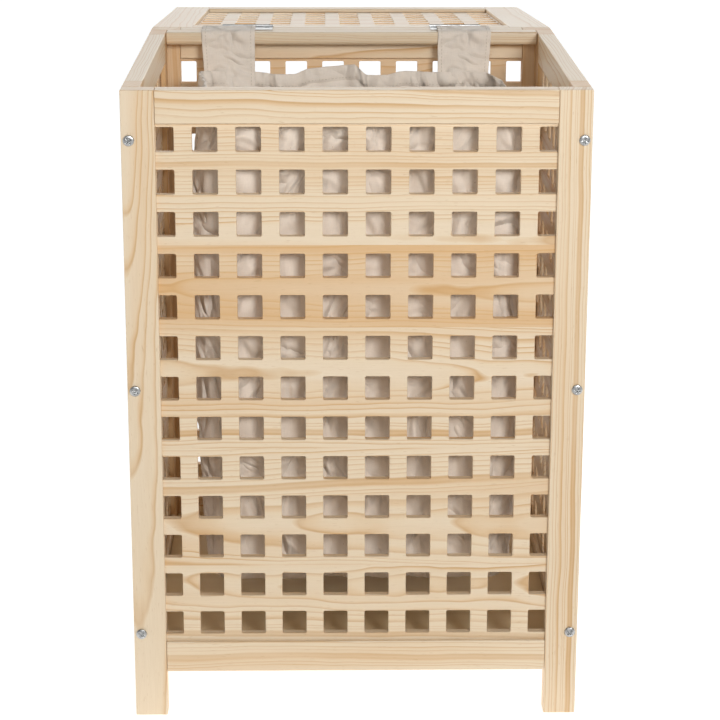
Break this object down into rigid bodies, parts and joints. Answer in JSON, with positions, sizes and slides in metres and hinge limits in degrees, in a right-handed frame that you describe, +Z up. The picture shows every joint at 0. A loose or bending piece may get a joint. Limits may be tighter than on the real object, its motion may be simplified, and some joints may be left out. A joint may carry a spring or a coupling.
{
  "type": "laundry hamper",
  "caption": "Pine laundry hamper on legs with lattice panels, a hinged lattice lid shown open, and a canvas bag hung inside.",
  "frame": {"origin": "on the floor plane, under the middle of the bounding box of the hamper with its lid open", "axes": "+Z up, -Y the front, +X to the right seen from the front; the hinge axis runs along X"},
  "size_m": [0.5, 0.9054, 0.7237],
  "materials": {
    "pine_frame": "clear satin lacquer on planed pine",
    "pine_lattice": "planed edge-glued pine, a little rough at the holes",
    "plywood": "raw thin board",
    "zinc_steel": "bright zinc plate",
    "canvas": "natural unbleached cotton canvas",
    "strap_canvas": "folded canvas strap, the same cloth"
  },
  "bodies": {
    "box": {"back_lattice": "pine_lattice", "back_post_left": "pine_frame", "back_post_right": "pine_frame", "back_rail_bottom": "pine_frame", "back_rail_top": "pine_frame", "bag_back": "canvas", "bag_base": "canvas", "bag_front": "canvas", "bag_left": "canvas", "bag_right": "canvas", "floor_batten_left": "pine_frame", "floor_batten_right": "pine_frame", "floor_board": "plywood", "front_lattice": "pine_lattice", "front_post_left": "pine_frame", "front_post_right": "pine_frame", "front_rail_bottom": "pine_frame", "front_rail_top": "pine_frame", "hinge_bar": "pine_frame", "hinge_left_box_leaf": "zinc_steel", "hinge_left_pin": "zinc_steel", "hinge_right_box_leaf": "zinc_steel", "hinge_right_pin": "zinc_steel", "left_lattice": "pine_lattice", "left_rail_bottom": "pine_frame", "left_rail_top": "pine_frame", "left_stile_back": "pine_frame", "left_stile_front": "pine_frame", "right_lattice": "pine_lattice", "right_rail_bottom": "pine_frame", "right_rail_top": "pine_frame", "right_stile_back": "pine_frame", "right_stile_front": "pine_frame", "screw_back_left_1": "zinc_steel", "screw_back_left_2": "zinc_steel", "screw_back_left_3": "zinc_steel", "screw_back_right_1": "zinc_steel", "screw_back_right_2": "zinc_steel", "screw_back_right_3": "zinc_steel", "screw_front_left_1": "zinc_steel", "screw_front_left_2": "zinc_steel", "screw_front_left_3": "zinc_steel", "screw_front_right_1": "zinc_steel", "screw_front_right_2": "zinc_steel", "screw_front_right_3": "zinc_steel", "strap_left": "strap_canvas", "strap_right": "strap_canvas"},
    "lid": {"hinge_left_lid_leaf": "zinc_steel", "hinge_right_lid_leaf": "zinc_steel", "lid_lattice": "pine_lattice", "lid_rail_back": "pine_frame", "lid_rail_front": "pine_frame", "lid_stile_left": "pine_frame", "lid_stile_right": "pine_frame"}
  },
  "joints": [
    {"name": "lid_hinge", "type": "hinge", "parent": "box", "child": "lid", "pos_m": [0, 0.00126, 0.722], "axis": [1, 0, 0], "range_deg": [0, 184.6]}
  ]
}
